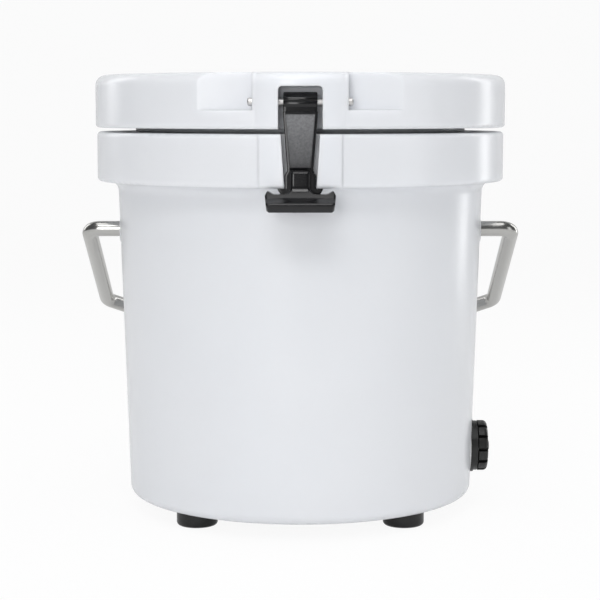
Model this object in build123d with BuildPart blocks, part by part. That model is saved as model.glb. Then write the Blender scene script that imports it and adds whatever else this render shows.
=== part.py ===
from build123d import *

import os
from math import cos, radians, sin, sqrt, tan

os.makedirs("parts", exist_ok=True)

# An insulated round bucket with a hinged lid, a rubber T-latch, a bail handle and a drain.
# Millimetres. The origin is on the bucket's axis, on the surface that the bucket stands on.
# +Z is up, the latch faces -Y, the lid's hinge is at +Y and the drain is at +X.

# ---------------------------------------------------------------- driving dimensions

# Double-walled shells and their foam
skin = 4.0
foam_clearance = 0.3

# Bucket body
foot_height = 12.5
base_radius = 142.2
neck_radius = 150.3
body_height = 259.5
collar_radius = 167.0
collar_height = 40.0
mouth_radius = 122.0
cavity_floor_radius = 114.0
floor_thickness = 25.0
base_edge_radius = 7.0
neck_cove_radius = 8.5
collar_edge_radius = 3.0
mouth_edge_radius = 2.5
cavity_floor_fillet = 14.0

# Bulge that carries the latch, on the collar and on the lid
bulge_radius = 75.0
bulge_front = 172.5
pad_half_width = 31.0
slot_top_half_width = 14.4
slot_bottom_half_width = 11.9
slot_depth = 14.0

# Lid
lid_radius = 168.0
lid_gap = 3.5
lid_height = 42.0
lid_top_edge_radius = 8.0
lid_bottom_edge_radius = 2.5
land_radius = 135.5
land_gap = 0.6
plug_radius = 119.0
plug_depth = 16.0
plug_taper = 3.5
panel_radius = 132.0
panel_depth = 2.0
panel_slope = 3.0
boss_half_width = 35.5
pocket_outer_half_width = 100.0
pocket_plane = 149.5
pocket_ledge_height = 14.0
recess_half_width = 16.3
recess_depth = 22.5
recess_top_margin = 10.5
recess_corner_radius = 3.0

# Lid gasket
gasket_inner_radius = 125.5
gasket_outer_radius = 132.5
gasket_groove_depth = 2.4
gasket_clearance = 0.2

# Latch
latch_pin_radius = 3.0
latch_pin_reach = 159.0
latch_pin_drop = 22.0
latch_pin_proud = 3.5
latch_bore_clearance = 0.1
barrel_radius = 7.3
barrel_width = 25.2
blade_top_half_width = 13.0
blade_bottom_half_width = 9.3
blade_back = 160.5
blade_thickness = 8.0
blade_top_drop = 7.0
blade_length = 44.5
blade_rail = 2.0
blade_panel_depth = 0.7
wing_half_width = 11.4
wing_height = 9.0
ear_half_width = 17.0
ear_thickness = 4.5
ear_tip_half_width = 13.5
neck_half_width = 7.6
neck_thickness = 5.0
bar_half_width = 26.6
bar_height = 14.0
bar_reach = 18.5
bar_drop = 3.6
bar_horn_width = 4.5
bar_horn_height = 1.4

# Lid hinge
hinge_pin_radius = 3.0
knuckle_radius = 9.0
hinge_half_width = 44.0
lid_knuckle_half_width = 21.5
knuckle_side_gap = 0.5
hinge_bore_clearance = 0.1
gusset_height = 30.0
gusset_root = 5.0
hinge_head_radius = 5.0
hinge_head_thickness = 2.0
clip_radius = 5.5
clip_thickness = 1.5

# Bail handle
rod_radius = 6.35
pivot_height = 231.3
arm_half_spacing = 176.1
arm_length = 152.0
grip_length = 222.0
shoulder_angle = 43.0
handle_rest_angle = 29.0
elbow_radius = 9.5
shoulder_radius = 15.0
rod_insertion = 18.0
rod_end_chamfer = 1.0
socket_wall = 3.2
socket_clearance = 0.1
socket_end_gap = 1.0
socket_floor = 2.0
socket_flange_radius = 11.5
socket_flange_thickness = 2.2
socket_flange_proud = 1.2

# Drain
drain_height = 48.3
drain_bore_radius = 8.0
drain_flange_radius = 22.0
drain_flange_thickness = 6.4
drain_flange_step = 1.2
drain_flange_rim = 2.6
drain_gasket_thickness = 1.4
drain_spigot_radius = 12.0
drain_spigot_length = 18.0
drain_seat_clearance = 0.4
cap_radius = 21.0
cap_height = 7.8
cap_gap = 0.4
cap_edge_radius = 3.5
cap_lobes = 12
cap_notch_width = 3.0
cap_notch_depth = 5.0
cap_face_radius = 12.0
cap_face_depth = 2.4
cap_web_width = 6.0
cap_nub_radius = 4.2
cap_nub_height = 2.0
cap_stem_clearance = 0.1
cap_stem_length = 12.0
seal_inner_radius = 9.0
seal_outer_radius = 13.0
seal_thickness = 2.0

# Feet
foot_radius = 16.4
foot_circle_radius = 116.5
foot_edge_radius = 3.0
foot_recess_radius = 6.0
foot_recess_depth = 5.0
screw_shank_radius = 2.5
screw_length = 16.0
screw_head_radius = 4.6
screw_head_height = 3.0
insert_radius = 4.5
insert_height = 12.0
screw_end_gap = 1.0

# Plugs of the foam-fill holes
fill_hole_radius = 12.0
fill_flange_radius = 16.0
fill_flange_thickness = 1.5

# ---------------------------------------------------------------- heights and radii worked out from them

base_z = foot_height
cavity_floor_z = base_z + floor_thickness
collar_bottom_z = base_z + body_height
collar_top_z = collar_bottom_z + collar_height
lid_bottom_z = collar_top_z + lid_gap
lid_top_z = lid_bottom_z + lid_height
land_z = collar_top_z + land_gap
plug_bottom_z = collar_top_z - plug_depth
panel_z = lid_top_z - panel_depth
pocket_ledge_z = lid_bottom_z + pocket_ledge_height
latch_pin_z = lid_top_z - latch_pin_drop
recess_top_z = lid_top_z - recess_top_margin
hinge_z = collar_top_z + lid_gap / 2
hinge_y = lid_radius + knuckle_radius
slot_floor = bulge_front - slot_depth


def body_radius(z):
    """Radius of the tapered outer wall at a height."""
    return base_radius + (neck_radius - base_radius) * (z - base_z) / body_height


def circle_y(radius, x):
    """How far in front of the axis a circle of this radius stands, at a distance to the side."""
    return sqrt(radius**2 - x**2)


drain_seat_x = circle_y(body_radius(drain_height - drain_flange_radius), drain_flange_radius)
drain_seat_radius = drain_flange_radius + drain_seat_clearance
drain_flange_back_x = drain_seat_x + drain_gasket_thickness
drain_flange_face_x = drain_flange_back_x + drain_flange_thickness
socket_seat_x = circle_y(body_radius(pivot_height - socket_flange_radius), socket_flange_radius)
socket_radius = rod_radius + socket_clearance + socket_wall
rod_end_x = socket_seat_x - rod_insertion
socket_end_x = rod_end_x - socket_end_gap - socket_floor


def corner(sketch, across, up):
    """The corner of a sketch that lies nearest to a point."""
    return sketch.vertices().sort_by_distance((across, up, 0))[0]


# ---------------------------------------------------------------- bucket body

body_outline = [
    (0, base_z),
    (base_radius, base_z),
    (neck_radius, collar_bottom_z),
    (collar_radius, collar_bottom_z),
    (collar_radius, collar_top_z),
    (mouth_radius, collar_top_z),
    (cavity_floor_radius, cavity_floor_z),
    (0, cavity_floor_z),
]


def foam_space(outline, inset):
    """The space inside a shell's skins: its outline drawn in by the skin and turned about the axis."""
    with BuildPart() as space:
        with BuildSketch(Plane.XZ):
            with BuildLine():
                Polyline(*outline, close=True)
            make_face()
            mirror(about=Plane.YZ)
            offset(amount=-inset, kind=Kind.INTERSECTION)
            split(bisect_by=Plane.YZ)
        revolve(axis=Axis.Z)
    return space.part


def latch_slot(side_growth, floor_growth):
    """The tapered slot between the two pads, grown to keep a skin behind it."""
    with BuildPart() as slot:
        with BuildSketch(Plane.XZ.offset(slot_floor - floor_growth)):
            with BuildLine():
                Polyline(
                    (-slot_bottom_half_width - side_growth, collar_bottom_z - floor_growth),
                    (slot_bottom_half_width + side_growth, collar_bottom_z - floor_growth),
                    (slot_top_half_width + side_growth, collar_top_z + floor_growth),
                    (-slot_top_half_width - side_growth, collar_top_z + floor_growth),
                    close=True,
                )
            make_face()
        extrude(amount=bulge_front)
    return slot.part


def body_foam_space(inset):
    """The foam's space in the body, clear of everything that is moulded through the wall."""
    with BuildPart() as space:
        add(foam_space(body_outline, inset))
        add(latch_slot(inset, inset), mode=Mode.SUBTRACT)
        with BuildSketch(Plane.YZ):
            with Locations((0, drain_height)):
                Circle(drain_bore_radius + inset)
        extrude(amount=collar_radius, mode=Mode.SUBTRACT)
        with BuildSketch(Plane.YZ.offset(drain_seat_x - drain_spigot_length - inset)):
            with Locations((0, drain_height)):
                Circle(drain_spigot_radius + inset)
        extrude(amount=collar_radius, mode=Mode.SUBTRACT)
        with BuildSketch(Plane.YZ.offset(drain_seat_x - inset)):
            with Locations((0, drain_height)):
                Circle(drain_seat_radius + inset)
        extrude(amount=collar_radius, mode=Mode.SUBTRACT)
        with BuildSketch(Plane.YZ.offset(socket_end_x - inset)):
            with Locations((0, pivot_height)):
                Circle(socket_radius + inset)
        socket_boss = extrude(amount=collar_radius, mode=Mode.SUBTRACT)
        mirror(socket_boss, about=Plane.YZ, mode=Mode.SUBTRACT)
        with BuildSketch(Plane.XY.offset(base_z)):
            with PolarLocations(foot_circle_radius, 4, start_angle=45):
                Circle(insert_radius + inset)
        extrude(amount=insert_height + inset, mode=Mode.SUBTRACT)
    return space.part


def front_bulge(bottom_z, height, half_width, top_edge_radius, bottom_edge_radius):
    """The convex swelling in front of the round wall, with rounded upper and lower edges."""
    with BuildPart() as bulge:
        with BuildSketch(Plane.XY.offset(bottom_z)):
            with Locations((0, bulge_radius - bulge_front)):
                Circle(bulge_radius)
            with Locations((0, -(slot_floor + bulge_front) / 2)):
                Rectangle(2 * half_width, slot_depth, mode=Mode.INTERSECT)
        extrude(amount=height)
        front_arcs = bulge.edges().filter_by(GeomType.CIRCLE).sort_by(Axis.Z)
        fillet(front_arcs[-1], top_edge_radius)
        front_arcs = bulge.edges().filter_by(GeomType.CIRCLE).sort_by(Axis.Z)
        fillet(front_arcs[0], bottom_edge_radius)
    return bulge.part


def hinge_profile(root_y, root_z, tip_z):
    """Side view of a hinge knuckle: a barrel round the pin on a gusset that runs into the wall."""
    with BuildSketch() as profile:
        with Locations((hinge_y, hinge_z)):
            Circle(knuckle_radius)
        with BuildLine():
            Polyline(
                (root_y, root_z),
                (hinge_y, root_z),
                (hinge_y + knuckle_radius, hinge_z),
                (root_y, tip_z),
                close=True,
            )
        make_face()
    return profile.sketch


with BuildPart() as body_shell:
    with BuildSketch(Plane.XZ) as body_section:
        with BuildLine():
            Polyline(*body_outline, close=True)
        make_face()
        fillet(corner(body_section, base_radius, base_z), base_edge_radius)
        fillet(corner(body_section, neck_radius, collar_bottom_z), neck_cove_radius)
        fillet(corner(body_section, collar_radius, collar_bottom_z), collar_edge_radius)
        fillet(corner(body_section, collar_radius, collar_top_z), collar_edge_radius)
        fillet(corner(body_section, mouth_radius, collar_top_z), mouth_edge_radius)
        fillet(corner(body_section, cavity_floor_radius, cavity_floor_z), cavity_floor_fillet)
    revolve(axis=Axis.Z)
    # the latch pads: one convex bulge, parted by the slot
    add(
        front_bulge(
            collar_bottom_z, collar_height, pad_half_width, collar_edge_radius, collar_edge_radius
        )
    )
    add(latch_slot(0, 0), mode=Mode.SUBTRACT)
    # hinge knuckles at the back
    for side in (-1, 1):
        inner_x = lid_knuckle_half_width + knuckle_side_gap
        middle_x = side * (inner_x + hinge_half_width) / 2
        with BuildSketch(Plane.YZ.offset(middle_x)):
            add(hinge_profile(collar_radius - gusset_root, hinge_z, hinge_z - gusset_height))
        extrude(amount=(hinge_half_width - inner_x) / 2, both=True)
    with BuildSketch(Plane.YZ):
        with Locations((hinge_y, hinge_z)):
            Circle(hinge_pin_radius)
    extrude(amount=hinge_half_width, both=True, mode=Mode.SUBTRACT)
    # drain: bore, threaded pocket and flat seat
    with BuildSketch(Plane.YZ):
        with Locations((0, drain_height)):
            Circle(drain_bore_radius)
    extrude(amount=collar_radius, mode=Mode.SUBTRACT)
    with BuildSketch(Plane.YZ.offset(drain_seat_x - drain_spigot_length)):
        with Locations((0, drain_height)):
            Circle(drain_spigot_radius)
    extrude(amount=collar_radius, mode=Mode.SUBTRACT)
    with BuildSketch(Plane.YZ.offset(drain_seat_x)):
        with Locations((0, drain_height)):
            Circle(drain_seat_radius)
    extrude(amount=collar_radius, mode=Mode.SUBTRACT)
    # handle sockets and the seats of their flanges
    with BuildSketch(Plane.YZ.offset(socket_end_x)):
        with Locations((0, pivot_height)):
            Circle(socket_radius)
    socket_bore = extrude(amount=collar_radius, mode=Mode.SUBTRACT)
    mirror(socket_bore, about=Plane.YZ, mode=Mode.SUBTRACT)
    with BuildSketch(Plane.YZ.offset(socket_seat_x + socket_flange_proud - socket_flange_thickness)):
        with Locations((0, pivot_height)):
            Circle(socket_flange_radius)
    socket_seat = extrude(amount=collar_radius - neck_radius, mode=Mode.SUBTRACT)
    mirror(socket_seat, about=Plane.YZ, mode=Mode.SUBTRACT)
    # insert pockets and the stepped foam-fill hole in the base
    with BuildSketch(Plane.XY.offset(base_z)):
        with PolarLocations(foot_circle_radius, 4, start_angle=45):
            Circle(insert_radius)
    extrude(amount=insert_height, mode=Mode.SUBTRACT)
    add(body_foam_space(skin), mode=Mode.SUBTRACT)
    with BuildSketch(Plane.XY.offset(base_z)):
        Circle(fill_hole_radius)
    extrude(amount=skin, mode=Mode.SUBTRACT)
    with BuildSketch(Plane.XY.offset(base_z)):
        Circle(fill_flange_radius)
    extrude(amount=fill_flange_thickness, mode=Mode.SUBTRACT)
body_shell.part.label = "body_shell"
export_step(body_shell.part, "parts/body_shell.step")

# the foam stands on the bottom skin
with BuildPart() as body_foam:
    with Locations((0, 0, -foam_clearance)):
        add(body_foam_space(skin + foam_clearance))
body_foam.part.label = "body_foam"
export_step(body_foam.part, "parts/body_foam.step")

with BuildPart() as body_fill_plug:
    with BuildSketch(Plane.XY.offset(base_z)):
        Circle(fill_flange_radius)
    extrude(amount=fill_flange_thickness)
    with BuildSketch(Plane.XY.offset(base_z)):
        Circle(fill_hole_radius)
    extrude(amount=skin)
body_fill_plug.part.label = "body_fill_plug"
export_step(body_fill_plug.part, "parts/body_fill_plug.step")

# ---------------------------------------------------------------- feet, their inserts and screws

feet = {"foot_front_left": 225, "foot_front_right": 315, "foot_rear_right": 45, "foot_rear_left": 135}

for name, angle in feet.items():
    with BuildPart() as foot:
        with BuildSketch():
            with PolarLocations(foot_circle_radius, 1, start_angle=angle):
                Circle(foot_radius)
        extrude(amount=foot_height)
        fillet(foot.edges().group_by(Axis.Z)[0], foot_edge_radius)
        with BuildSketch():
            with PolarLocations(foot_circle_radius, 1, start_angle=angle):
                Circle(foot_recess_radius)
        extrude(amount=foot_recess_depth, mode=Mode.SUBTRACT)
        with BuildSketch():
            with PolarLocations(foot_circle_radius, 1, start_angle=angle):
                Circle(screw_shank_radius)
        extrude(amount=foot_height, mode=Mode.SUBTRACT)
    foot.part.label = name
    export_step(foot.part, f"parts/{name}.step")

with BuildPart() as foot_inserts:
    with BuildSketch(Plane.XY.offset(base_z)):
        with PolarLocations(foot_circle_radius, 4, start_angle=45):
            Circle(insert_radius)
    extrude(amount=insert_height)
    with BuildSketch(Plane.XY.offset(base_z)):
        with PolarLocations(foot_circle_radius, 4, start_angle=45):
            Circle(screw_shank_radius)
    extrude(amount=insert_height - screw_end_gap, mode=Mode.SUBTRACT)
foot_inserts.part.label = "foot_inserts"
export_step(foot_inserts.part, "parts/foot_inserts.step")

with BuildPart() as foot_screws:
    with BuildSketch(Plane.XY.offset(foot_recess_depth - screw_head_height)):
        with PolarLocations(foot_circle_radius, 4, start_angle=45):
            Circle(screw_head_radius)
    extrude(amount=screw_head_height)
    with BuildSketch(Plane.XY.offset(foot_recess_depth)):
        with PolarLocations(foot_circle_radius, 4, start_angle=45):
            Circle(screw_shank_radius)
    extrude(amount=screw_length)
foot_screws.part.label = "foot_screws"
export_step(foot_screws.part, "parts/foot_screws.step")

# ---------------------------------------------------------------- handle sockets and bail handle

socket_flange_face_x = socket_seat_x + socket_flange_proud

for side, mirrored in {"right": False, "left": True}.items():
    with BuildPart() as socket:
        with BuildSketch(Plane.YZ.offset(socket_end_x)):
            with Locations((0, pivot_height)):
                Circle(socket_radius)
        extrude(amount=socket_flange_face_x - socket_end_x)
        with BuildSketch(Plane.YZ.offset(socket_flange_face_x)):
            with Locations((0, pivot_height)):
                Circle(socket_flange_radius)
        extrude(amount=-socket_flange_thickness)
        chamfer(socket.edges().group_by(Axis.X)[-1], socket_flange_proud / 2)
        with BuildSketch(Plane.YZ.offset(socket_end_x + socket_floor)):
            with Locations((0, pivot_height)):
                Circle(rod_radius + socket_clearance)
        extrude(amount=collar_radius, mode=Mode.SUBTRACT)
        if mirrored:
            mirror(about=Plane.YZ, mode=Mode.REPLACE)
    socket.part.label = f"handle_socket_{side}"
    export_step(socket.part, f"parts/handle_socket_{side}.step")

# the plane that the handle lies in, with its local y along the arms
rest_tilt = radians(handle_rest_angle)
handle_plane = Plane(
    origin=(0, 0, pivot_height), x_dir=(1, 0, 0), z_dir=(0, sin(rest_tilt), cos(rest_tilt))
)
grip_half_length = arm_half_spacing - (grip_length - arm_length) / tan(radians(shoulder_angle))

with BuildPart() as bail_handle:
    with BuildLine(handle_plane) as handle_path:
        FilletPolyline(
            (-rod_end_x, 0),
            (-arm_half_spacing, 0),
            (-arm_half_spacing, arm_length),
            (-grip_half_length, grip_length),
            (grip_half_length, grip_length),
            (arm_half_spacing, arm_length),
            (arm_half_spacing, 0),
            (rod_end_x, 0),
            radius=[elbow_radius] + 4 * [shoulder_radius] + [elbow_radius],
        )
    with BuildSketch(Plane(origin=handle_path.line @ 0, z_dir=handle_path.line % 0)):
        Circle(rod_radius)
    sweep(path=handle_path.line)
    chamfer(bail_handle.faces().filter_by(GeomType.PLANE).edges(), rod_end_chamfer)
bail_handle.part.label = "bail_handle"
export_step(bail_handle.part, "parts/bail_handle.step")

# ---------------------------------------------------------------- drain fitting, gasket, cap and seal

with BuildPart() as drain_gasket:
    with BuildSketch(Plane.YZ.offset(drain_seat_x)):
        with Locations((0, drain_height)):
            Circle(drain_flange_radius)
            Circle(drain_spigot_radius, mode=Mode.SUBTRACT)
    extrude(amount=drain_gasket_thickness)
drain_gasket.part.label = "drain_gasket"
export_step(drain_gasket.part, "parts/drain_gasket.step")

with BuildPart() as drain_fitting:
    with BuildSketch(Plane.YZ.offset(drain_flange_back_x)):
        with Locations((0, drain_height)):
            Circle(drain_flange_radius)
    extrude(amount=drain_flange_rim)
    with BuildSketch(Plane.YZ.offset(drain_flange_back_x + drain_flange_rim)):
        with Locations((0, drain_height)):
            Circle(drain_flange_radius - drain_flange_step)
    extrude(amount=drain_flange_thickness - drain_flange_rim)
    chamfer(drain_fitting.edges().group_by(Axis.X)[-1], drain_flange_step / 2)
    with BuildSketch(Plane.YZ.offset(drain_flange_back_x)):
        with Locations((0, drain_height)):
            Circle(drain_spigot_radius)
    extrude(amount=-drain_gasket_thickness - drain_spigot_length)
    with BuildSketch(Plane.YZ):
        with Locations((0, drain_height)):
            Circle(drain_bore_radius)
    extrude(amount=collar_radius, mode=Mode.SUBTRACT)
drain_fitting.part.label = "drain_fitting"
export_step(drain_fitting.part, "parts/drain_fitting.step")

cap_back_x = drain_flange_face_x + cap_gap
cap_face_x = cap_back_x + cap_height

with BuildPart() as drain_cap:
    with BuildSketch(Plane.YZ.offset(cap_back_x)):
        with Locations((0, drain_height)):
            Circle(cap_radius)
    extrude(amount=cap_height)
    fillet(drain_cap.edges().group_by(Axis.X)[-1], cap_edge_radius)
    # finger notches round the rim
    with BuildSketch(Plane.YZ.offset(cap_back_x)):
        with Locations((0, drain_height)):
            with PolarLocations(cap_radius, cap_lobes, start_angle=90):
                SlotOverall(2 * cap_notch_depth, cap_notch_width)
    extrude(amount=cap_height, mode=Mode.SUBTRACT)
    # dished face with a grip web across it
    with BuildSketch(Plane.YZ.offset(cap_face_x)):
        with Locations((0, drain_height)):
            Circle(cap_face_radius)
            Rectangle(2 * cap_radius, cap_web_width, mode=Mode.SUBTRACT)
    extrude(amount=-cap_face_depth, mode=Mode.SUBTRACT)
    with BuildSketch(Plane.YZ.offset(cap_face_x)):
        with Locations((0, drain_height)):
            Circle(cap_nub_radius)
    extrude(amount=cap_nub_height)
    fillet(drain_cap.edges().group_by(Axis.X)[-1], cap_nub_height / 2)
    # groove for the seal and the stem that closes the bore
    with BuildSketch(Plane.YZ.offset(cap_back_x)):
        with Locations((0, drain_height)):
            Circle(seal_outer_radius)
            Circle(seal_inner_radius, mode=Mode.SUBTRACT)
    extrude(amount=seal_thickness - cap_gap, mode=Mode.SUBTRACT)
    with BuildSketch(Plane.YZ.offset(cap_back_x)):
        with Locations((0, drain_height)):
            Circle(drain_bore_radius - cap_stem_clearance)
    extrude(amount=-cap_stem_length)
drain_cap.part.label = "drain_cap"
export_step(drain_cap.part, "parts/drain_cap.step")

with BuildPart() as drain_cap_seal:
    with BuildSketch(Plane.YZ.offset(drain_flange_face_x)):
        with Locations((0, drain_height)):
            Circle(seal_outer_radius)
            Circle(seal_inner_radius, mode=Mode.SUBTRACT)
    extrude(amount=seal_thickness)
drain_cap_seal.part.label = "drain_cap_seal"
export_step(drain_cap_seal.part, "parts/drain_cap_seal.step")

# ---------------------------------------------------------------- hinge pin and its retainer

with BuildPart() as hinge_pin:
    with BuildSketch(Plane.YZ.offset(-hinge_half_width)):
        with Locations((hinge_y, hinge_z)):
            Circle(hinge_pin_radius)
    extrude(amount=2 * hinge_half_width + 2 * clip_thickness)
    with BuildSketch(Plane.YZ.offset(-hinge_half_width)):
        with Locations((hinge_y, hinge_z)):
            Circle(hinge_head_radius)
    extrude(amount=-hinge_head_thickness)
    fillet(hinge_pin.edges().group_by(Axis.X)[0], hinge_head_thickness / 2)
hinge_pin.part.label = "hinge_pin"
export_step(hinge_pin.part, "parts/hinge_pin.step")

with BuildPart() as hinge_clip:
    with BuildSketch(Plane.YZ.offset(hinge_half_width)):
        with Locations((hinge_y, hinge_z)):
            Circle(clip_radius)
            Circle(hinge_pin_radius, mode=Mode.SUBTRACT)
    extrude(amount=clip_thickness)
hinge_clip.part.label = "hinge_clip"
export_step(hinge_clip.part, "parts/hinge_clip.step")

# ---------------------------------------------------------------- lid

lid_outline = [
    (0, plug_bottom_z),
    (plug_radius - plug_taper, plug_bottom_z),
    (plug_radius, land_z),
    (land_radius, land_z),
    (land_radius, lid_bottom_z),
    (lid_radius, lid_bottom_z),
    (lid_radius, lid_top_z),
    (panel_radius + panel_slope, lid_top_z),
    (panel_radius, panel_z),
    (0, panel_z),
]


def latch_recess(growth):
    """The recess in the lid's front that the strap hangs in."""
    with BuildPart() as recess:
        with BuildSketch(Plane.XZ.offset(bulge_front - recess_depth - growth)):
            with Locations((0, (lid_bottom_z - growth + recess_top_z + growth) / 2)):
                Rectangle(
                    2 * (recess_half_width + growth), recess_top_z - lid_bottom_z + 2 * growth
                )
        extrude(amount=recess_depth + 2 * growth)
        fillet(
            recess.edges().filter_by(Axis.Y).group_by(Axis.Z)[-1], recess_corner_radius
        )
    return recess.part


def pin_pocket(growth):
    """One of the two flat-backed pockets that the ends of the latch pin are reached through."""
    with BuildPart() as pocket:
        with BuildSketch(Plane.XZ.offset(pocket_plane - growth)):
            with Locations(
                (
                    (boss_half_width + pocket_outer_half_width) / 2,
                    (pocket_ledge_z + lid_top_z) / 2,
                )
            ):
                Rectangle(
                    pocket_outer_half_width - boss_half_width + 2 * growth,
                    lid_top_z - pocket_ledge_z + 2 * growth,
                )
        extrude(amount=bulge_front)
    return pocket.part


def lid_foam_space(inset):
    """The foam's space in the lid, clear of the recess, the pockets and the fill hole."""
    with BuildPart() as space:
        add(foam_space(lid_outline, inset))
        add(latch_recess(inset), mode=Mode.SUBTRACT)
        add(pin_pocket(inset), mode=Mode.SUBTRACT)
        mirror(pin_pocket(inset), about=Plane.YZ, mode=Mode.SUBTRACT)
        with BuildSketch(Plane.XY.offset(land_z)):
            Circle(gasket_outer_radius + gasket_clearance + inset)
            Circle(gasket_inner_radius - gasket_clearance - inset, mode=Mode.SUBTRACT)
        extrude(amount=gasket_groove_depth + inset, mode=Mode.SUBTRACT)
        with BuildSketch(Plane.YZ):
            with Locations((-latch_pin_reach, latch_pin_z)):
                Circle(latch_pin_radius + inset)
        extrude(amount=boss_half_width, both=True, mode=Mode.SUBTRACT)
    return space.part


with BuildPart() as lid_shell:
    with BuildSketch(Plane.XZ) as lid_section:
        with BuildLine():
            Polyline(*lid_outline, close=True)
        make_face()
        fillet(corner(lid_section, lid_radius, lid_top_z), lid_top_edge_radius)
        fillet(corner(lid_section, lid_radius, lid_bottom_z), lid_bottom_edge_radius)
    revolve(axis=Axis.Z)
    add(
        front_bulge(
            lid_bottom_z, lid_height, pocket_outer_half_width, lid_top_edge_radius, lid_bottom_edge_radius
        )
    )
    add(latch_recess(0), mode=Mode.SUBTRACT)
    add(pin_pocket(0), mode=Mode.SUBTRACT)
    mirror(pin_pocket(0), about=Plane.YZ, mode=Mode.SUBTRACT)
    # hinge knuckle
    with BuildSketch(Plane.YZ):
        add(hinge_profile(lid_radius - gusset_root, lid_bottom_z, lid_bottom_z + gusset_height))
    extrude(amount=lid_knuckle_half_width, both=True)
    with BuildSketch(Plane.YZ):
        with Locations((hinge_y, hinge_z)):
            Circle(hinge_pin_radius + hinge_bore_clearance)
    extrude(amount=lid_knuckle_half_width, both=True, mode=Mode.SUBTRACT)
    # bore of the latch pin
    with BuildSketch(Plane.YZ):
        with Locations((-latch_pin_reach, latch_pin_z)):
            Circle(latch_pin_radius)
    extrude(amount=boss_half_width, both=True, mode=Mode.SUBTRACT)
    # gasket groove
    with BuildSketch(Plane.XY.offset(land_z)):
        Circle(gasket_outer_radius + gasket_clearance)
        Circle(gasket_inner_radius - gasket_clearance, mode=Mode.SUBTRACT)
    extrude(amount=gasket_groove_depth, mode=Mode.SUBTRACT)
    add(lid_foam_space(skin), mode=Mode.SUBTRACT)
    # stepped foam-fill hole in the underside
    with BuildSketch(Plane.XY.offset(plug_bottom_z)):
        Circle(fill_hole_radius)
    extrude(amount=skin, mode=Mode.SUBTRACT)
    with BuildSketch(Plane.XY.offset(plug_bottom_z)):
        Circle(fill_flange_radius)
    extrude(amount=fill_flange_thickness, mode=Mode.SUBTRACT)
lid_shell.part.label = "lid_shell"
export_step(lid_shell.part, "parts/lid_shell.step")

# the foam lies on the skin of the underside
with BuildPart() as lid_foam:
    with Locations((0, 0, -foam_clearance)):
        add(lid_foam_space(skin + foam_clearance))
lid_foam.part.label = "lid_foam"
export_step(lid_foam.part, "parts/lid_foam.step")

with BuildPart() as lid_fill_plug:
    with BuildSketch(Plane.XY.offset(plug_bottom_z)):
        Circle(fill_flange_radius)
    extrude(amount=fill_flange_thickness)
    with BuildSketch(Plane.XY.offset(plug_bottom_z)):
        Circle(fill_hole_radius)
    extrude(amount=skin)
lid_fill_plug.part.label = "lid_fill_plug"
export_step(lid_fill_plug.part, "parts/lid_fill_plug.step")

with BuildPart() as lid_gasket:
    with BuildSketch(Plane.XY.offset(collar_top_z)):
        Circle(gasket_outer_radius)
        Circle(gasket_inner_radius, mode=Mode.SUBTRACT)
    extrude(amount=land_gap + gasket_groove_depth)
lid_gasket.part.label = "lid_gasket"
export_step(lid_gasket.part, "parts/lid_gasket.step")

with BuildPart() as latch_pin:
    with BuildSketch(Plane.YZ):
        with Locations((-latch_pin_reach, latch_pin_z)):
            Circle(latch_pin_radius)
    extrude(amount=boss_half_width + latch_pin_proud, both=True)
    chamfer(latch_pin.faces().filter_by(GeomType.PLANE).edges(), latch_pin_radius / 4)
latch_pin.part.label = "latch_pin"
export_step(latch_pin.part, "parts/latch_pin.step")

# ---------------------------------------------------------------- latch strap

blade_front = blade_back + blade_thickness
blade_top_z = latch_pin_z - blade_top_drop
blade_bottom_z = blade_top_z - blade_length
wing_bottom_z = collar_bottom_z
ear_bottom_z = collar_bottom_z - ear_thickness
neck_front = blade_front + neck_thickness
bar_top_z = collar_bottom_z - bar_drop
bar_bottom_z = bar_top_z - bar_height
bar_front = blade_front + bar_reach

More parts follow.
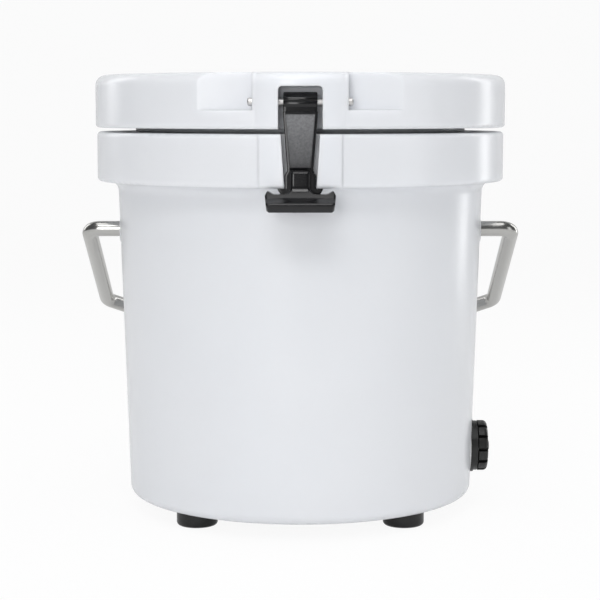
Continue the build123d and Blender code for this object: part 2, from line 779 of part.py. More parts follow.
with BuildPart() as latch_strap:
    # blade, flaring into two wings above the ears that hook under the pads
    with BuildSketch(Plane.XZ.offset(blade_back)) as blade_view:
        with BuildLine():
            Polyline(
                (0, blade_top_z),
                (blade_top_half_width, blade_top_z),
                (blade_bottom_half_width, blade_bottom_z),
                (wing_half_width, wing_bottom_z + wing_height / 2),
                (wing_half_width, wing_bottom_z),
                (ear_half_width, wing_bottom_z),
                (ear_half_width, ear_bottom_z + ear_thickness / 2),
                (ear_tip_half_width, ear_bottom_z),
                (0, ear_bottom_z),
                close=True,
            )
        make_face()
        fillet(corner(blade_view, blade_bottom_half_width, blade_bottom_z), blade_rail)
        mirror(about=Plane.YZ)
    extrude(amount=blade_thickness)
    # barrel round the pin, joined to the blade by a tongue as thick as its lower half
    with BuildSketch(Plane.YZ) as barrel_view:
        with Locations((-latch_pin_reach, latch_pin_z)):
            Circle(barrel_radius)
        with BuildLine():
            Polyline(
                (-latch_pin_reach - barrel_radius, latch_pin_z),
                (-latch_pin_reach - barrel_radius, blade_top_z),
                (-blade_front + blade_rail, blade_top_z - blade_rail),
                (-blade_back, blade_top_z - blade_rail),
                (-blade_back + barrel_radius / 2, latch_pin_z - barrel_radius / 2),
                close=True,
            )
        make_face()
    extrude(amount=barrel_width / 2, both=True)
    # sunken panel between the blade's side rails
    with BuildSketch(Plane.XZ.offset(blade_front)):
        with BuildLine():
            Polyline(
                (blade_top_half_width - blade_rail, blade_top_z - blade_rail),
                (blade_bottom_half_width - blade_rail, blade_bottom_z + blade_rail),
                (blade_rail - blade_bottom_half_width, blade_bottom_z + blade_rail),
                (blade_rail - blade_top_half_width, blade_top_z - blade_rail),
                close=True,
            )
        make_face()
    extrude(amount=-blade_panel_depth, mode=Mode.SUBTRACT)
    # neck and pull bar
    with BuildSketch(Plane.XZ.offset(blade_back)) as neck_view:
        with BuildLine():
            Polyline(
                (neck_half_width, blade_bottom_z - blade_rail),
                (neck_half_width, bar_top_z),
                (neck_half_width + bar_horn_width, bar_bottom_z),
                (-neck_half_width - bar_horn_width, bar_bottom_z),
                (-neck_half_width, bar_top_z),
                (-neck_half_width, blade_bottom_z - blade_rail),
                close=True,
            )
        make_face()
    extrude(amount=blade_thickness + neck_thickness)
    with BuildSketch(Plane.YZ) as bar_view:
        with BuildLine():
            Polyline(
                (-blade_front + bar_horn_height, bar_top_z),
                (-neck_front, bar_top_z),
                (-bar_front + bar_horn_height, bar_top_z - bar_height / 2),
                (-bar_front, bar_top_z - bar_height / 2 - bar_horn_height),
                (-bar_front + 2 * bar_horn_height, bar_bottom_z),
                (-neck_front, bar_bottom_z + bar_horn_height),
                (-blade_front + bar_horn_height, bar_bottom_z + 2 * bar_horn_height),
                close=True,
            )
        make_face()
    extrude(amount=bar_half_width, both=True)
    # bore for the pin
    with BuildSketch(Plane.YZ):
        with Locations((-latch_pin_reach, latch_pin_z)):
            Circle(latch_pin_radius + latch_bore_clearance)
    extrude(amount=barrel_width, both=True, mode=Mode.SUBTRACT)
latch_strap.part.label = "latch_strap"
export_step(latch_strap.part, "parts/latch_strap.step")
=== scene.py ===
# %% [markdown]
# # An insulated bait bucket, dressed for the studio
# The bucket's solids were drawn in millimetres in a CAD program. Here they arrive as a fixed frame,
# in metres and in the same place, and this lesson gives them their finishes: glossy moulded
# polyethylene, black rubber, satin stainless bar, grained black plastic. Finer things, such as the
# forms of the latch, screw sockets, threads and treads, are made here as new surfaces.

# %% Load the bucket
import math

import bpy
import numpy as np
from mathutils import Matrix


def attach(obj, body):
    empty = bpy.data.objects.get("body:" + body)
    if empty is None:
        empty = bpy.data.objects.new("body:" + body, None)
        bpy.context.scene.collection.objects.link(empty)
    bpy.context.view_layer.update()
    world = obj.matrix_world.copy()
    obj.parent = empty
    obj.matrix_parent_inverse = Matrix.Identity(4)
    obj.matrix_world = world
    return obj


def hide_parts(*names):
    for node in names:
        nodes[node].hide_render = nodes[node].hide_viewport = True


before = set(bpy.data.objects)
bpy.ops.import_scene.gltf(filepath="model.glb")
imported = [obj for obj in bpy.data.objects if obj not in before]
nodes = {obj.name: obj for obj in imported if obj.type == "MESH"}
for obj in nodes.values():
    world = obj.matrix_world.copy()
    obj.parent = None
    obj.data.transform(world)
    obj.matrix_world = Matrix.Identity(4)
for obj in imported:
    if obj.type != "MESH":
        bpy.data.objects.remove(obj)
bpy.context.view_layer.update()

mm = 0.001

# %% [markdown]
# ## The camera
# A long lens a metre and a half away, a few centimetres lower than the lid's top and tipped down by
# six degrees. From there the rims are almost straight lines and the lid's top is out of sight. A
# long lens keeps the walls from leaning, and nothing is cropped, so the lens needs no shift.

# %% Camera
camera_distance, camera_height, tip_down = 1.4553, 0.3308, 6.25
lens = bpy.data.cameras.new("studio_lens")
lens.lens = 105
lens.sensor_width = 36
camera = bpy.data.objects.new("studio_camera", lens)
camera.location = (-0.00025, -camera_distance, camera_height)
camera.rotation_euler = (math.radians(90 - tip_down), 0, 0)
bpy.context.scene.collection.objects.link(camera)
bpy.context.scene.camera = camera
print("lens", lens.lens, "mm, camera", [round(v, 3) for v in camera.location])

# %% [markdown]
# ## Surfaces from numbers
# Every new surface is one grid of points: rows run along one direction, columns along the other.
# The grid becomes a mesh of four-sided faces in one go, without a loop over its points. A ring
# closes the columns on themselves, and a closing row is a fan of triangles on a single point.


# %% Grid to mesh
def sheet(points, ring=True, loop=False, start=False, end=False):
    """The corners and faces of a grid points[row, column, xyz]. Face (i, j) joins point (i, j) to
    (i, j + 1), (i + 1, j + 1) and (i + 1, j). With ring, the last column joins the first, and with
    loop the last row does. start and end close the first and last row with a fan on its middle."""
    rows, columns = points.shape[:2]
    number = np.arange(rows * columns).reshape(rows, columns)
    right = np.roll(number, -1, axis=1)
    if not ring:
        number, right = number[:, :-1], right[:, :-1]
    last = rows if loop else rows - 1
    above, above_right = np.roll(number, -1, axis=0), np.roll(right, -1, axis=0)
    quads = np.stack([number, right, above_right, above], axis=-1)[:last].reshape(-1, 4)
    corners, faces = points.reshape(-1, 3), quads.tolist()
    for wanted, row, turn in ((start, 0, -1), (end, -1, 1)):
        if wanted:
            middle = np.full(number.shape[1], len(corners))
            corners = np.vstack([corners, points[row].mean(axis=0)])
            faces += np.stack([number[row], right[row], middle], axis=-1)[:, ::turn].tolist()
    return corners, faces


def piece(name, *sheets):
    """One object from several sheets, each shifted past the corners of those before it."""
    starts = np.cumsum([0] + [len(corners) for corners, _ in sheets])
    faces = [[int(i + start) for i in face] for (_, own), start in zip(sheets, starts) for face in own]
    mesh = bpy.data.meshes.new(name)
    mesh.from_pydata(np.vstack([corners for corners, _ in sheets]).tolist(), [], faces)
    mesh.polygons.foreach_set("use_smooth", np.ones(len(mesh.polygons), dtype=bool))
    mesh.set_sharp_from_angle(angle=math.radians(38))
    mesh.update()
    thing = bpy.data.objects.new(name, mesh)
    bpy.context.scene.collection.objects.link(thing)
    print(name, "has", len(mesh.vertices), "corners and", len(mesh.polygons), "faces")
    return thing


# %% [markdown]
# ## The floor
# A sheet of white card that lies flat under the bucket and curls up behind it, as a product
# photographer hangs it. It is one profile, flat, then a quarter circle, then upright, carried
# sideways. The curl hides the line where floor meets wall.

# %% Floor
card_front, curl_start, curl_radius, card_top, card_half_width = -5.0, 2.2, 1.2, 5.0, 6
bend = np.linspace(0, math.pi / 2, 25)
wall = curl_start + curl_radius
along = np.concatenate([[card_front], curl_start + curl_radius * np.sin(bend), [wall]])
up = np.concatenate([[0.0], curl_radius - curl_radius * np.cos(bend), [card_top]])
across = np.linspace(-card_half_width, card_half_width, 13)
card = np.stack(np.broadcast_arrays(across[None, :], along[:, None], up[:, None]), axis=-1)
floor = piece("floor", sheet(card, ring=False))

# %% [markdown]
# ## Writing a finish
# A shader is a little sum over the surface. Wrapping a socket in a class with + - * / lets the sum
# be written as a sum, and each sign adds its Math node. One method adds every other kind of node:
# its type, then its settings, then its sockets.


# %% Wire and Finish
class Wire:
    """A socket that can be added, multiplied and compared like a number."""

    def __init__(self, finish, socket):
        self.finish, self.socket = finish, socket

    def maths(self, operation, *values, clamp=False):
        settings = {"operation": operation, "use_clamp": clamp}
        return self.finish.node("ShaderNodeMath", settings, dict(enumerate(values)))

    def __add__(self, other):
        return self.maths("ADD", self, other)

    def __sub__(self, other):
        return self.maths("SUBTRACT", self, other)

    def __rsub__(self, other):
        return self.maths("SUBTRACT", other, self)

    def __mul__(self, other):
        return self.maths("MULTIPLY", self, other)

    def __truediv__(self, other):
        return self.maths("DIVIDE", self, other)

    def __abs__(self):
        return self.maths("ABSOLUTE", self)

    def inside(self, edge, soft):
        """1 where the value is under the edge, 0 above it, with a ramp as wide as soft."""
        return self.maths("ADD", (edge - self) / soft, 0.5, clamp=True)

    __radd__, __rmul__ = __add__, __mul__


class Finish:
    """A material as it is written: its node tree and its Principled shader."""

    def __init__(self, name, **constants):
        self.material = bpy.data.materials.new(name)
        self.material.use_nodes = True
        self.tree = self.material.node_tree
        self.tree.nodes.clear()
        self.shader = self.tree.nodes.new("ShaderNodeBsdfPrincipled")
        ending = self.tree.nodes.new("ShaderNodeOutputMaterial")
        self.tree.links.new(self.shader.outputs[0], ending.inputs[0])
        for socket, value in constants.items():
            self.shader.inputs[socket.replace("_", " ")].default_value = value

    def feed(self, socket, value):
        if isinstance(value, Wire):
            self.tree.links.new(value.socket, socket)
        else:
            socket.default_value = value

    def node(self, kind, settings=None, sockets=None, output=0):
        """Adds a node, sets its settings, then gives its sockets values or wires."""
        made = self.tree.nodes.new(kind)
        for name, value in (settings or {}).items():
            setattr(made, name, value)
        for name, value in (sockets or {}).items():
            self.feed(made.inputs[name], value)
        return Wire(self, made.outputs[output])

    def place(self):
        """The point on the surface, in metres, and its x, y and z."""
        point = self.node("ShaderNodeTexCoord", output="Object")
        parts = self.node("ShaderNodeSeparateXYZ", sockets={0: point}).socket.node.outputs
        return point, [Wire(self, part) for part in parts]

    def grain(self, point, size, detail=2.0, stretch=(1, 1, 1)):
        """Even noise from 0 to 1 whose blobs are about size metres across."""
        turned = self.node("ShaderNodeMapping", sockets={0: point, "Scale": stretch})
        return self.node("ShaderNodeTexNoise", sockets={0: turned, "Scale": 0.6 / size, "Detail": detail})

    def blend(self, amount, first, second):
        """The colour first where amount is 0 and second where it is 1."""
        return self.node(
            "ShaderNodeMix", {"data_type": "RGBA"}, {0: amount, 6: first, 7: second}, output=2
        )

    def relief(self, height, start=None):
        """Makes the surface look raised by height, in metres, over the normals that start gives."""
        sockets = {"Height": height, "Distance": 1.0, "Strength": 1.0}
        bumped = self.node("ShaderNodeBump", sockets=sockets | ({"Normal": start} if start else {}))
        self.feed(self.shader.inputs["Normal"], bumped)

    def paint(self, socket, value):
        self.feed(self.shader.inputs[socket], value)


print("a finish has", len([m for m in dir(Finish) if not m.startswith("_")]), "methods")

# %% [markdown]
# ## The studio
# White card that lights itself for the camera reads as white and still keeps the bucket's shadow.
# In reflections it glows less, so that black rubber and steel stay dark. The room does the same: it
# is white to the camera, dim in reflections and pale to everything else. The light is a broad soft
# window in front on the left, one overhead, and narrow strips that draw bright lines on edges.

# %% Floor finish
paper = Finish("white_card", Roughness=0.9)
paper.shader.inputs["Base Color"].default_value = (0.9, 0.9, 0.9, 1)
rays = paper.node("ShaderNodeLightPath").socket.node.outputs
camera_glow, mirror_glow = 0.92, 0.4
seen = (
    Wire(paper, rays["Is Camera Ray"]) * camera_glow
    + Wire(paper, rays["Is Glossy Ray"]) * mirror_glow
    + Wire(paper, rays["Is Transmission Ray"]) * camera_glow
)
glow = paper.node("ShaderNodeEmission", sockets={0: (1, 1, 1, 1), 1: 1.0})
mix = paper.node(
    "ShaderNodeMixShader", sockets={0: seen, 1: Wire(paper, paper.shader.outputs[0]), 2: glow}
)
ending = [n for n in paper.tree.nodes if n.type == "OUTPUT_MATERIAL"][0]
paper.tree.links.new(mix.socket, ending.inputs[0])
floor.data.materials.append(paper.material)
print("card brightens itself by", camera_glow, "and in reflections by", mirror_glow)

# %% Room and lamps
room = bpy.data.worlds.new("pale_room")
bpy.context.scene.world = room
room.use_nodes = True
room_light = room.node_tree.nodes["Background"]
room_light.inputs[0].default_value = (0.97, 0.985, 1.0, 1)
room_rays = room.node_tree.nodes.new("ShaderNodeLightPath").outputs
pale, mirrored, white = 0.43, 0.13, 1.0


def changed_for(ray, change, start):
    """A Math node in the room's tree that gives start + change for one kind of ray, and start for
    every other. start is a number or the output of an earlier change."""
    step = room.node_tree.nodes.new("ShaderNodeMath")
    step.operation = "MULTIPLY_ADD"
    step.inputs[1].default_value = change
    room.node_tree.links.new(room_rays[ray], step.inputs[0])
    if isinstance(start, float):
        step.inputs[2].default_value = start
    else:
        room.node_tree.links.new(start, step.inputs[2])
    return step.outputs[0]


strength = changed_for("Is Glossy Ray", mirrored - pale, pale)
strength = changed_for("Is Camera Ray", white - pale, strength)
room.node_tree.links.new(strength, room_light.inputs[1])


def window(name, place, aim, width, height, watts):
    """A soft rectangular lamp at place that faces aim, both in metres."""
    lamp = bpy.data.lights.new(name, "AREA")
    lamp.shape = "RECTANGLE"
    lamp.size, lamp.size_y, lamp.energy = width, height, watts
    holder = bpy.data.objects.new(name, lamp)
    holder.location = place
    way = np.array(aim) - np.array(place)
    flat = math.hypot(way[0], way[1])
    holder.rotation_euler = (math.pi / 2 + math.atan2(way[2], flat), 0, math.atan2(-way[0], way[1]))
    bpy.context.scene.collection.objects.link(holder)


window("front_window", (-0.62, -2.7, 0.62), (0, 0, 0.2), 0.85, 1.3, 18)
window("top_window", (0.0, -0.4, 2.2), (0, 0, 0.2), 1.8, 1.6, 15)
window("high_strip", (-0.25, -1.7, 2.0), (0, 0, 0.33), 1.2, 0.5, 12)
window("left_strip", (-1.4, 0.9, 0.85), (0, 0, 0.35), 0.4, 1.1, 3)
window("right_strip", (1.4, 0.8, 0.6), (0, 0, 0.3), 0.3, 1.5, 5)
window("right_fill", (2.4, -1.3, 0.7), (0, 0, 0.2), 1.0, 1.4, 5)
bpy.context.scene.view_settings.view_transform = "Standard"

# %% [markdown]
# ## Moulded polyethylene
# The shell is cast in a hot spinning mould. Its skin is glossy but never flat: it has the faint,
# wide ripple called orange peel, and it is a cool white with slow changes of tone. One noise makes
# the ripple, a wider one moves the roughness a little, and nothing repeats. Light sinks about
# 8 mm into the plastic, and a Bevel node lets sharp edges shine as if they were rounded.


# %% White shell finish
def moulded_white(name, roughness):
    """Cool glossy white with a ripple 5 mm wide, and hollows 70 mm wide that bend its reflections.
    Its relief is 0.03 mm times the first noise plus 0.4 mm times the second."""
    depths = {"Subsurface_Weight": 0.6, "Subsurface_Radius": (1, 1, 1), "Subsurface_Scale": 8 * mm}
    white = Finish(name, IOR=1.5, **depths)
    point, _ = white.place()
    slow = white.grain(point, 0.09)
    white.paint("Base Color", white.blend(slow, (0.77, 0.79, 0.83, 1), (0.81, 0.82, 0.85, 1)))
    white.paint("Roughness", slow * 0.08 + roughness)
    rounded = white.node("ShaderNodeBevel", {"samples": 6}, {"Radius": 2.5 * mm})
    ripple = white.grain(point, 0.005) * 0.00003
    hollows = white.grain(point, 0.07, 1.0) * 0.0004
    white.relief(ripple + hollows, rounded)
    return white.material


shell_white = moulded_white("moulded_white", 0.2)
bush_white = moulded_white("bush_white", 0.34)
print("whites:", shell_white.name, bush_white.name)

# %% [markdown]
# ## Black rubber and black plastic
# Rubber and nylon are both nearly black, so only their skins tell them apart. The feet are smooth
# and wet-looking, the latch has a grey grained panel between polished rails, and the drain parts
# carry the even sandy grain of a spark-eroded mould. The gaskets are the same kind of finish in a
# pale grey.


# %% Plain blacks
def plain_tone(name, tone, roughness, size, depth):
    """One grey or nearly black tone that drifts up to half as bright again, with a grain of the
    given size and depth in metres."""
    black = Finish(name, IOR=1.45)
    point, _ = black.place()
    slow = black.grain(point, 0.012)
    black.paint("Base Color", black.blend(slow, (tone,) * 3 + (1,), (tone * 1.5,) * 3 + (1,)))
    black.paint("Roughness", slow * 0.1 + roughness)
    black.relief(black.grain(point, size) * depth)
    return black.material


foot_rubber = plain_tone("foot_rubber", 0.006, 0.16, 0.002, 0.00001)
grained_black = plain_tone("grained_black_plastic", 0.009, 0.3, 0.0006, 0.00002)
grey_rubber = plain_tone("gasket_rubber", 0.58, 0.5, 0.001, 0.00002)
print("blacks:", foot_rubber.name, grained_black.name, grey_rubber.name)

# %% Latch rubber
latch_rubber = Finish("latch_rubber", IOR=1.45)
point, (x, y, z) = latch_rubber.place()
# The grey begins about 2 mm above the foot of the sunken panel, at 287.35 mm, so the deep pocket at the
# foot stays black: painted shade in the undercut above the tongue.
panel_middle, panel_half_height = 306.85, 19.5
taper = (z - 285 * mm) * 0.077 + 7.6 * mm
panel = (
    (abs(x) - taper).inside(0.0, 0.4 * mm)
    * abs(z - panel_middle * mm).inside(panel_half_height * mm, 0.8 * mm)
    * (y + 150 * mm).inside(0.0, 1 * mm)
)
speck = latch_rubber.grain(point, 0.001, 3.0)
# This factor is painted light: the panel's grey brightens towards its top by one more for every 60 mm of
# height, as if lit from above. The speckle it multiplies is the rubber's own grain.
painted_light_above = (z - 285 * mm) / (60 * mm) + 0.35
speck_and_painted_light = panel * (speck * 0.9 + 0.35) * painted_light_above
rail_black, panel_grey = (0.006, 0.006, 0.007, 1), (0.2, 0.202, 0.21, 1)
latch_rubber.paint("Base Color", latch_rubber.blend(speck_and_painted_light, rail_black, panel_grey))
latch_rubber.paint("Roughness", panel * 0.3 + speck * 0.06 + 0.13)
latch_rubber.relief(speck * (panel * 0.97 + 0.03) * 0.00006)
print("panel runs from", panel_middle - panel_half_height, "to", panel_middle + panel_half_height, "mm")

# %% [markdown]
# ## Steel, brass and foam
# The bail is stainless bar, polished along its length before it was bent, so its lines must follow
# the bends. They are drawn on the straight bar: each corner of its mesh remembers where it was
# before bending. Pins and screws are turned, and their lines run with the object's own axes.


# %% Metals
def satin_metal(name, colour, roughness, stretch, layer=None):
    """Metal with fine polishing lines: noise drawn out along one axis of the object or of a layer."""
    metal = Finish(name, Metallic=1.0)
    if layer:
        point = metal.node("ShaderNodeAttribute", {"attribute_name": layer}, output="Vector")
    else:
        point, _ = metal.place()
    lines = metal.grain(point, 0.0007, 2.0, stretch)
    cloudy = metal.grain(point, 0.02)
    metal.paint("Base Color", metal.blend(lines, tuple(c * 0.92 for c in colour) + (1,), colour + (1,)))
    metal.paint("Roughness", lines * 0.1 + cloudy * 0.06 + roughness)
    metal.relief(lines * 0.000004)
    return metal.material


bail_steel = satin_metal("satin_stainless", (0.5, 0.495, 0.48), 0.15, (0.02, 1, 1), "straight_bar")
pin_steel = satin_metal("turned_stainless", (0.6, 0.59, 0.58), 0.24, (1, 1, 1))
insert_brass = satin_metal("turned_brass", (0.72, 0.53, 0.26), 0.3, (1, 1, 1))
print("metals:", bail_steel.name, pin_steel.name, insert_brass.name)

# %% Foam
foam = Finish("poured_foam", Roughness=0.95)
point, _ = foam.place()
cells = foam.node("ShaderNodeTexVoronoi", sockets={0: point, "Scale": 900.0})
foam.paint("Base Color", foam.blend(cells, (0.78, 0.66, 0.4, 1), (0.88, 0.8, 0.58, 1)))
foam.relief(cells * 0.0004)
print("foam:", foam.material.name)

# %% Give each piece its finish
finishes = {
    "body_shell": shell_white, "lid_shell": shell_white,
    "body_fill_plug": bush_white, "lid_fill_plug": bush_white,
    "handle_socket_left": bush_white, "handle_socket_right": bush_white,
    "body_foam": foam.material, "lid_foam": foam.material,
    "foot_front_left": foot_rubber, "foot_front_right": foot_rubber,
    "foot_rear_left": foot_rubber, "foot_rear_right": foot_rubber,
    "foot_inserts": insert_brass, "foot_screws": pin_steel,
    "drain_fitting": grained_black, "drain_cap": grained_black,
    "drain_gasket": grey_rubber, "drain_cap_seal": grey_rubber, "lid_gasket": grey_rubber,
    "hinge_pin": pin_steel, "hinge_clip": pin_steel, "latch_pin": pin_steel,
    "latch_strap": latch_rubber.material, "bail_handle": bail_steel,
}
for name, finish in finishes.items():
    nodes[name].data.materials.clear()
    nodes[name].data.materials.append(finish)
print("finished:", len(finishes), "left:", sorted(set(nodes) - set(finishes)))

# %% [markdown]
# ## The bail handle
# A bar bent in one plane, which hangs at 29 degrees behind the bucket. Its middle line is straight
# runs joined by arcs, and a ring is carried along it. The ring never twists, because one of its
# axes is always square to the plane of the line. The bar keeps the CAD bar's bends and is a
# hundredth of a millimetre thinner all round, so that it stays inside it. It gains the memory of
# its straight shape that the polishing lines need.


# %% Line with round bends
def rounded_line(corners, radii, steps=12):
    """Straight runs joined by arcs. The arc at a corner starts radius * tan(turn / 2) before it, and
    its points are start + radius * sin(s) * way in + radius * (1 - cos(s)) * sideways, for s from 0
    to the turn."""
    ways = np.diff(corners, axis=0)
    ways /= np.linalg.norm(ways, axis=1)[:, None]
    line = [corners[:1]]
    for corner, radius, before, after in zip(corners[1:-1], radii, ways[:-1], ways[1:]):
        turn = math.acos(before @ after)
        side = after - (before @ after) * before
        side /= np.linalg.norm(side)
        s = np.linspace(0, turn, steps + 1)[:, None]
        start = corner - before * radius * math.tan(turn / 2)
        line.append(start + radius * np.sin(s) * before + radius * (1 - np.cos(s)) * side)
    return np.vstack(line + [corners[-1:]])


# %% Bail handle
tilt = math.radians(29)
pivot = np.array([0, 0, 231.3])
sideways = np.array([1.0, 0, 0])
outward = np.array([0, math.cos(tilt), -math.sin(tilt)])
square = np.array([0, math.sin(tilt), math.cos(tilt)])
stub_end, arm_side, arm_reach, grip_end, grip_reach = 130.225, 176.1, 152.0, 101.034, 222.0
half = [(stub_end, 0), (arm_side, 0), (arm_side, arm_reach), (grip_end, grip_reach)]
plan = np.array([(-u, v) for u, v in half] + half[::-1])
bends = np.array([9.5, 15, 15, 15, 15, 9.5]) * mm
bar_line = rounded_line((pivot + plan[:, :1] * sideways + plan[:, 1:] * outward) * mm, bends)
way = np.gradient(bar_line, axis=0)
way /= np.linalg.norm(way, axis=1)[:, None]
way[[0, -1]] = -sideways
inset = -sideways * mm  # the bevel is as long as it is deep
bar_line = np.vstack(
    [bar_line[:1], bar_line[:1] + inset, bar_line[1:-1], bar_line[-1:] - inset, bar_line[-1:]]
)
way = np.vstack([way[:1], way, way[-1:]])
end_bevel = 1 * mm
bar_radius = np.full(len(bar_line), 6.34 * mm)
bar_radius[[0, -1]] -= end_bevel
turn = np.linspace(0, 2 * math.pi, 49)[:-1]
side = np.cross(way, square)
ring = np.cos(turn)[None, :, None] * square + np.sin(turn)[None, :, None] * side[:, None, :]
bar = bar_line[:, None, :] + bar_radius[:, None, None] * ring
run = np.concatenate([[0], np.cumsum(np.linalg.norm(np.diff(bar_line, axis=0), axis=1))])
round_cos, round_sin = bar_radius[:, None] * np.cos(turn), bar_radius[:, None] * np.sin(turn)
straight = np.stack(np.broadcast_arrays(run[:, None], round_cos, round_sin), axis=-1)
bail = piece("bent_bar", sheet(bar, start=True, end=True))
memory = bail.data.attributes.new("straight_bar", "FLOAT_VECTOR", "POINT")
caps = [[0, 0, 0], [run[-1], 0, 0]]
memory.data.foreach_set("vector", np.vstack([straight.reshape(-1, 3), caps]).ravel())
bail.data.materials.append(bail_steel)
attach(bail, "handle")
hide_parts("bail_handle")
print("bar is", round(run[-1] / mm), "mm long before bending")

# %% [markdown]
# ## The latch
# A rubber T-latch is one moulding: a barrel round its pin, a tapering blade with a sunken panel
# between two rails, two ears that hook under the pads, a tongue, and a bar with a horn at each end
# to pull on. It could be boxes with bevelled edges. Here each part is a section that changes as it
# is carried along a line, so every edge gets its own rounding, and the parts run into one another.


# %% Blade
def slab(rows):
    """Upright body whose section at height z is a rounded oblong: corners at (+-half, -front) with
    a radius, back corners at (+-half, -back), and in its front a panel of half-width rail less than
    half that lies depth lower. Each row is z, half, front, back, radius, rail, depth, in mm."""
    z, half, front, back, radius, rail, depth = np.array(rows, float).T[:, :, None]
    corner = np.radians(np.linspace(0, 90, 5))
    across = half - radius + radius * np.sin(corner)
    ahead = front - radius + radius * np.cos(corner)
    panel = half - rail
    right_x = np.hstack([panel - 0.6, panel, across, half])
    right_y = np.hstack([front - depth, front, ahead, back])
    x = np.hstack([-right_x[:, ::-1], right_x])
    y = -np.hstack([right_y[:, ::-1], right_y])
    return np.stack(np.broadcast_arrays(x, y, z), axis=-1) * mm


blade_foot, blade_head, blade_front, blade_back = 285.0, 328.5, 167.8, 160.5


def blade_half(z):
    """The blade's half-width, which grows evenly from 9.6 mm at its foot to 12.95 mm at its head."""
    return 9.6 + (z - blade_foot) * (12.95 - 9.6) / (blade_head - blade_foot)


ears = [(267.8, 13.6), (268.1, 14.5), (268.9, 15.3), (270.2, 16.1), (271.9, 16.9), (272.0, 16.8)]
wings = [(272.0, 11.6), (280.9, 11.6), (282.2, 11.3), (283.4, 10.5), (284.6, 9.8)]
panel_depths = [(285.3, 0.0), (285.6, 2.4), (288.0, 1.7), (293.0, 0.7)]
panel_depths += [(315.0, 0.7), (325.7, 0.7), (326.3, 0.0)]
head = [(328.0, 12.9, 167.8), (328.5, 12.6, 167.3), (328.6, 12.4, 166.0), (333.0, 12.4, 166.0)]
blade_edge, rail_width = 0.8, 2.0
rest_of_row = (blade_back, blade_edge, rail_width)
blade_rows = [(z, half, blade_front, *rest_of_row, 0.0) for z, half in ears + wings]
blade_rows += [(z, blade_half(z), blade_front, *rest_of_row, depth) for z, depth in panel_depths]
blade_rows += [(z, half, front, *rest_of_row, 0.0) for z, half, front in head]
blade = sheet(slab(blade_rows), start=True, end=True)
print("blade rows", len(blade_rows))


# %% Tongue
def sweep_front(z):
    """How far the pull bar's front stands forward, in mm: plumb down to 277.93 mm, then a hollow
    arc of 16 mm radius, 189.1 - sqrt(16^2 - below^2)."""
    below = np.clip(277.93 - z, 0, 14.21)
    return 189.1 - np.sqrt(256 - below**2)


def waist_half(z):
    """The tongue's half-width where it flares into the bar: 12.4 less the height of a 5 mm arc."""
    return 12.4 - math.sqrt(25 - (273.2 - z) ** 2)


tongue_back, tongue_edge = 164.5, 2.2
tongue_rows = [(266.5, 10.6, 171.0, tongue_back, tongue_edge, 3.0, 0)]
for z in np.linspace(268.2, 273.2, 7):
    tongue_rows.append((z, waist_half(z), sweep_front(z), tongue_back, tongue_edge, 3.0, 0))
for z in (276.0, 280.0, 283.0):
    tongue_rows.append((z, 7.4, sweep_front(z), tongue_back, tongue_edge, 3.0, 0))
tongue_rows += [(284.2, 7.1, 172.6, tongue_back, tongue_edge, 3.0, 0)]
tongue_rows += [(285.0, 6.5, 171.8, tongue_back, 2.0, 3.0, 0)]
tongue_rows += [(285.4, 5.6, 170.8, tongue_back, 1.6, 2.6, 0)]
tongue = sheet(slab(tongue_rows), start=True, end=True)
print("tongue rows", len(tongue_rows))

# %% Barrel
# The barrel's radius is 7.3 mm, less a groove at 84 degrees forward of the top, plus a low roll
# below the groove, less the rounding of its ends: each row is a place along the barrel and its fall.
barrel_turn = np.radians(np.arange(0, 360, 3))
groove = 0.6 * np.exp(-(((barrel_turn - math.radians(84)) / math.radians(4)) ** 2))
roll_turns = np.radians([84, 92, 103, 115, 127, 138, 146])
roll = np.interp(barrel_turn, roll_turns, [0, 0.3, 0.5, 0.6, 0.5, 0.3, 0])
end_rounding = [(-12.6, 0.9), (-12.4, 0.35), (-11.8, 0.0), (11.8, 0.0), (12.4, 0.35), (12.6, 0.9)]
barrel_x, fall_in = np.array(end_rounding).T[:, :, None]
barrel_radius = 7.3 - groove + roll - fall_in
barrel_y = -159.0 - barrel_radius * np.sin(barrel_turn)
barrel_z = 335.5 + barrel_radius * np.cos(barrel_turn)
barrel_points = np.stack(np.broadcast_arrays(barrel_x, barrel_y, barrel_z), axis=-1) * mm
barrel = sheet(barrel_points, start=True, end=True)
print("barrel is", barrel_x[-1, 0] - barrel_x[0, 0], "mm wide")

# %% Pull bar
# The bar's top edge is a line of half-width and height, flat and then up into a horn at each end.
# Its section runs down the hollow front, round the ridge and back under. Both shrink at the ends.
horn_line = np.array([(0, 268.2), (19.66, 268.2), (24.16, 270.8), (26.16, 268.4)])
half_top = rounded_line(horn_line, [5.0, 1.0], 6)
bar_x = np.concatenate([-half_top[:0:-1, 0], half_top[:, 0]])
bar_top = np.interp(np.abs(bar_x), half_top[:, 0], half_top[:, 1])[:, None]
ridge_line = [(181.75, 263.72), (187.0, 261.0), (182.5, 255.2), (173.1, 255.2), (164.5, 268.2)]
lower = rounded_line(np.array(ridge_line), [2.4, 1.0, 1.0], 8)
down = np.linspace(0, 1, 9)[:-1]
front_z = bar_top + down * (lower[0, 1] - bar_top)
below_y, below_z = np.broadcast_to(lower.T[:, None, :], (2, len(bar_x), len(lower)))
section_z = np.hstack([front_z, below_z])
section_y = np.hstack([sweep_front(front_z), below_y])
section_z[:, -1:] = bar_top
round_off = np.interp(np.abs(bar_x), [24.0, 25.2, 25.9, 26.16], [1.0, 0.97, 0.9, 0.82])[:, None]
section_y = 175.0 + (section_y - 175.0) * round_off
section_z = 262.0 + (section_z - 262.0) * round_off
lean = 1 - 0.061 * np.clip(268.2 - section_z, 0, None) / 13.0
bar_points = np.stack(np.broadcast_arrays(bar_x[:, None] * lean, -section_y, section_z), axis=-1) * mm
pull_bar = sheet(bar_points, start=True, end=True)
print("bar's section has", bar_points.shape[1], "points and is carried through", len(bar_x), "places")

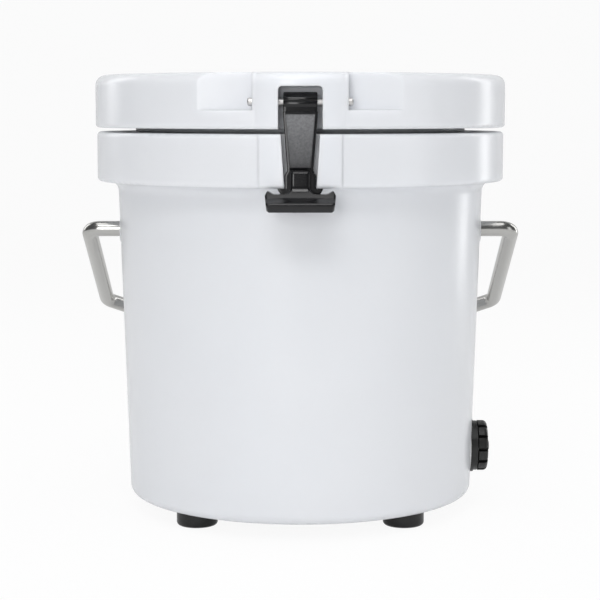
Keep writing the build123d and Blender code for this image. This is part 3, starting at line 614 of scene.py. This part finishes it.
# %% Join the latch
latch = piece("moulded_latch", blade, barrel, tongue, pull_bar)
latch.data.materials.append(latch_rubber.material)
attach(latch, "latch")
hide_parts("latch_strap")

# %% [markdown]
# ## Turned pieces
# Feet, screws and gaskets are turned shapes: a profile of radius and height carried round an axis.
# The profile runs down the inside, outwards below and up the outside, so the faces look out.


# %% Profile round an axis
def turned(profile, columns=64, centre=(0, 0)):
    """Point (i, j) is centre + (r_i * cos(a_j), r_i * sin(a_j), z_i), with r and z in millimetres."""
    r, z = np.array(profile, float).T
    a = np.linspace(0, 2 * math.pi, columns + 1)[:-1]
    x = centre[0] + r[:, None] * np.cos(a)
    y = centre[1] + r[:, None] * np.sin(a)
    return np.stack(np.broadcast_arrays(x, y, z[:, None]), axis=-1) * mm


def arc(centre, radius, first, last, steps=6):
    """Points centre + radius * (cos(a), sin(a)) for a from first to last, in degrees."""
    a = np.radians(np.linspace(first, last, steps + 1))
    return [(centre[0] + radius * c, centre[1] + radius * s) for c, s in zip(np.cos(a), np.sin(a))]


# %% Feet with a ringed tread
tread = [(6.5, 0.0)]
for inner in (8.0, 10.2):
    tread += [(inner - 0.2, 0.0), (inner + 0.1, 0.9), (inner + 0.9, 0.9), (inner + 1.2, 0.0)]
foot_profile = [(2.6, 12.5), (2.6, 5.0), (6.0, 5.0), (6.0, 0.5)] + tread
foot_profile += arc((13.4, 3.0), 3.0, -90, 0) + [(16.4, 6.0), (16.4, 9.0), (16.4, 12.2), (16.1, 12.5)]
foot_place = 82.378
for front_back, y_side in (("front", -1), ("rear", 1)):
    for left_right, x_side in (("left", -1), ("right", 1)):
        where = (foot_place * x_side, foot_place * y_side)
        foot = piece(f"tread_{front_back}_{left_right}", sheet(turned(foot_profile, 64, where), loop=True))
        foot.data.materials.append(foot_rubber)
        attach(foot, "bucket")
        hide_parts(f"foot_{front_back}_{left_right}")

# %% [markdown]
# ## Foot screws
# Each foot is held by a screw whose head hides in its recess. The head has a six-sided socket. A
# six-sided ring is a circle whose radius grows towards its corners: the flat's distance divided by
# the cosine of the angle from the middle of the flat.


# %% Socket screws
def socket_screw(where, columns=48):
    """Rows run from the socket's floor down its six walls, round the head and up the shank."""
    profile = [(1.9, 3.9), (1.9, 2.1), (2.5, 2.0), (3.9, 2.0)] + arc((3.9, 2.7), 0.7, -90, 0, 4)
    profile += [(4.6, 5.0), (2.5, 5.0), (2.5, 20.6), (2.1, 21.0)]
    points = turned(profile, columns)
    a = np.linspace(0, 2 * math.pi, columns + 1)[:-1]
    corner = 1 / np.cos((a + math.pi / 6) % (math.pi / 3) - math.pi / 6)
    points[:2, :, :2] *= corner[None, :, None]
    return points + np.array([where[0], where[1], 0]) * mm


corners = [(foot_place * i, foot_place * j) for i in (-1, 1) for j in (-1, 1)]
screws = piece("socket_screws", *[sheet(socket_screw(c), start=True, end=True) for c in corners])
screws.data.materials.append(pin_steel)
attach(screws, "bucket")
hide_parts("foot_screws")

# %% [markdown]
# ## Lid gasket
# The seal in the lid is a ring of silicone with two soft ribs that press on the rim. Its underside
# follows a wave: height = 1 mm times the square of the cosine, so the ribs are round and the valley
# between them is as deep as they are high.

# %% Ribbed gasket
inner, outer, gasket_top = 125.5, 132.5, 315.0
r = np.linspace(inner, outer, 33)
wave = 312.0 + np.cos(math.pi * (r - inner) / 3.5) ** 2
gasket_profile = [(inner, gasket_top), (inner, 314.0)] + list(zip(r, wave))
gasket_profile += [(outer, 314.0), (outer, gasket_top)]
gasket = piece("ribbed_gasket", sheet(turned(gasket_profile, 180), loop=True))
gasket.data.materials.append(grey_rubber)
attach(gasket, "lid")
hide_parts("lid_gasket")

# %% [markdown]
# ## Drain thread
# The cap turns three times to come out by nine millimetres, so its thread climbs three millimetres
# a turn. The thread is a low four-sided profile carried along a helix: angle t gives the place
# (start - pitch * t / turn, r * cos(t), r * sin(t)), and both ends sink back into the stem.

# %% Helix on the cap's stem
pitch, stem_start, stem_radius, drain_height = 3.0, 147.6, 7.9, 48.3
t = np.linspace(0, 2 * math.pi * 3.1, 225)[:, None]
sink = np.clip(np.minimum(t, t[-1] - t) / 0.9, 0, 1)
section = np.array([(0.95, -0.25), (0.35, 0.5), (-0.35, 0.5), (-0.95, -0.25)])
along_stem = stem_start - pitch * t / (2 * math.pi) + section[:, 0]
crest = section[:, 1] * sink - 0.25 * (1 - sink)
reach = stem_radius + np.where(section[:, 1] > 0, crest, section[:, 1])
helix = np.stack([along_stem, reach * np.cos(t), drain_height + reach * np.sin(t)], axis=-1) * mm
thread = piece("stem_thread", sheet(helix, start=True, end=True))
thread.data.materials.append(grained_black)
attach(thread, "drain_plug")
